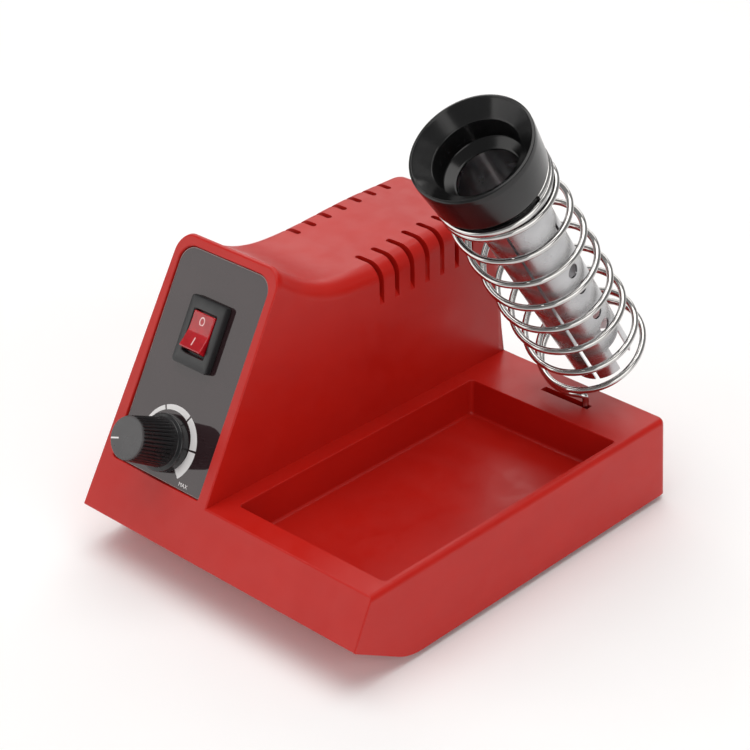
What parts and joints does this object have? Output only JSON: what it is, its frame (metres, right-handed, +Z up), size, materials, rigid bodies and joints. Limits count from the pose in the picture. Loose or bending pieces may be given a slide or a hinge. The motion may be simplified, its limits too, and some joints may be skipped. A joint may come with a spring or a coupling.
{
  "type": "soldering iron station",
  "caption": "Bench soldering iron station: red moulded housing with tool tray, rocker switch, power knob and a lift-out coil spring iron holder.",
  "frame": {"origin": "middle of the bounding box's footprint, on the surface the feet stand on", "axes": "+Z up, -Y towards the sloping front panel, +X to the right as seen from the front, towards the tray"},
  "size_m": [0.115, 0.1604, 0.1405],
  "materials": {
    "red_plastic": "satin moulded",
    "black_plastic": "satin moulded",
    "label": "gloss film",
    "knob_cap": "satin",
    "rubber": "matte",
    "rocker_lens": "translucent gloss",
    "glass": "clear",
    "steel": "plated",
    "plated_wire": "bright plated",
    "aluminium": "mill finish",
    "brass": "tinned",
    "laminate": "satin",
    "capacitor_case": "gloss",
    "ferrite": "matte",
    "resistor_coat": "lacquer",
    "wire_insulation": "satin",
    "terminal_block": "satin"
  },
  "bodies": {
    "station": {"housing": "red_plastic", "bottom_cover": "black_plastic", "front_label": "label", "switch_body": "black_plastic", "neon_lamp": "glass", "switch_terminal_1": "brass", "switch_terminal_2": "brass", "switch_terminal_3": "brass", "pot_body": "steel", "pot_nut": "steel", "pot_washer": "steel", "pot_lug_1": "brass", "pot_lug_2": "brass", "pot_lug_3": "brass", "circuit_board": "laminate", "triac": "black_plastic", "heat_sink": "aluminium", "film_capacitor": "capacitor_case", "choke": "ferrite", "fuse": "glass", "fuse_clip_1": "brass", "fuse_clip_2": "brass", "resistor_1": "resistor_coat", "resistor_2": "resistor_coat", "diac": "glass", "terminal_block": "terminal_block", "mains_bushing": "rubber", "iron_lead_bushing": "rubber", "switch_wire_1": "wire_insulation", "switch_wire_2": "wire_insulation", "pot_wire_1": "wire_insulation", "pot_wire_2": "wire_insulation", "cover_screw_1": "steel", "cover_screw_2": "steel", "cover_screw_3": "steel", "cover_screw_4": "steel", "foot_1": "rubber", "foot_2": "rubber", "foot_3": "rubber", "foot_4": "rubber", "board_screw_1": "steel", "board_screw_2": "steel"},
    "rocker": {"switch_rocker": "rocker_lens"},
    "knob": {"knob": "black_plastic", "knob_cap": "knob_cap", "pot_shaft": "steel"},
    "iron_holder": {"holder_coil": "plated_wire", "holder_funnel": "black_plastic", "holder_tube": "aluminium"}
  },
  "joints": [
    {"name": "switch_rock", "type": "hinge", "parent": "station", "child": "rocker", "pos_m": [-0.03285, -0.04515, 0.06904], "axis": [1, 0, 0], "range_deg": [0, 19]},
    {"name": "knob_turn", "type": "hinge", "parent": "station", "child": "knob", "pos_m": [-0.03285, -0.06168, 0.03921], "axis": [0, 0.8776, -0.4795], "range_deg": [-34, 252]},
    {"name": "holder_lift", "type": "slide", "parent": "station", "child": "iron_holder", "axis": [0, 0, 1], "range_m": [0, 0.05]}
  ]
}
